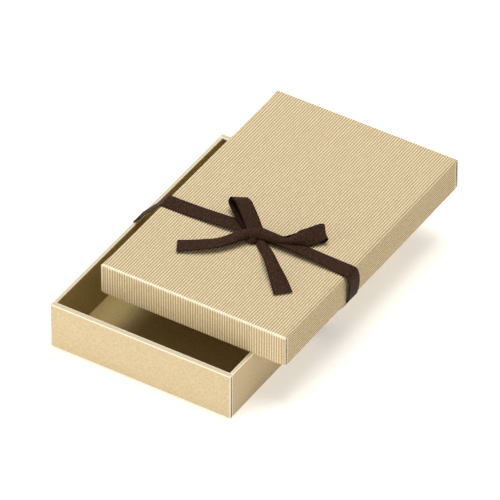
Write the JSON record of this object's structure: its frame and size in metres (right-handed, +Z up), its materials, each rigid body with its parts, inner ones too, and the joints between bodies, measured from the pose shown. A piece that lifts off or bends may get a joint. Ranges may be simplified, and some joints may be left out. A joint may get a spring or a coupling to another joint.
{
  "type": "two-piece gift box with ribbon",
  "caption": "Folded kraft board gift box: deep open tray, shallow lid of ribbed board set askew on its rim, and a ribbon tied round both with a bow.",
  "frame": {"origin": "middle of the ribbon's underside, where it passes under the tray; the box stands on it", "axes": "+Z up, +Y from the front of the box to its back, +X to the right"},
  "size_m": [0.1773, 0.2656, 0.0759],
  "materials": {
    "tray_board": "plain kraft board, matte",
    "ribbed_board": "ribbed kraft board, matte",
    "lid_liner": "plain kraft liner, matte",
    "ribbon": "dark brown woven ribbon, matte"
  },
  "bodies": {
    "tray": {"tray_floor": "tray_board", "tray_left_outer_wall": "tray_board", "tray_left_inner_wall": "tray_board", "tray_right_outer_wall": "tray_board", "tray_right_inner_wall": "tray_board", "tray_front_outer_wall": "tray_board", "tray_front_inner_wall": "tray_board", "tray_back_outer_wall": "tray_board", "tray_back_inner_wall": "tray_board", "tray_front_left_tab": "tray_board", "tray_front_right_tab": "tray_board", "tray_back_left_tab": "tray_board", "tray_back_right_tab": "tray_board"},
    "lid": {"lid_top_liner": "lid_liner", "lid_top_ribs": "ribbed_board", "lid_front_liner": "lid_liner", "lid_front_ribs": "ribbed_board", "lid_back_liner": "lid_liner", "lid_back_ribs": "ribbed_board", "lid_left_liner": "lid_liner", "lid_left_ribs": "ribbed_board", "lid_right_liner": "lid_liner", "lid_right_ribs": "ribbed_board", "lid_front_left_tab": "lid_liner", "lid_front_right_tab": "lid_liner", "lid_back_left_tab": "lid_liner", "lid_back_right_tab": "lid_liner"},
    "ribbon": {"ribbon_under_band": "ribbon", "ribbon_left_band": "ribbon", "ribbon_left_span": "ribbon", "ribbon_top_band": "ribbon", "ribbon_right_band": "ribbon", "ribbon_right_span": "ribbon", "ribbon_knot": "ribbon", "bow_back_loop": "ribbon", "bow_right_loop": "ribbon", "bow_left_tail": "ribbon", "bow_front_tail": "ribbon"}
  },
  "joints": [
    {"name": "lid_slide", "type": "slide", "parent": "tray", "child": "lid", "axis": [0, 1, 0], "range_m": [-0.034, 0.06]},
    {"name": "ribbon_slip", "type": "slide", "parent": "tray", "child": "ribbon", "axis": [0, 1, 0], "range_m": [-0.015, 0.08]}
  ]
}
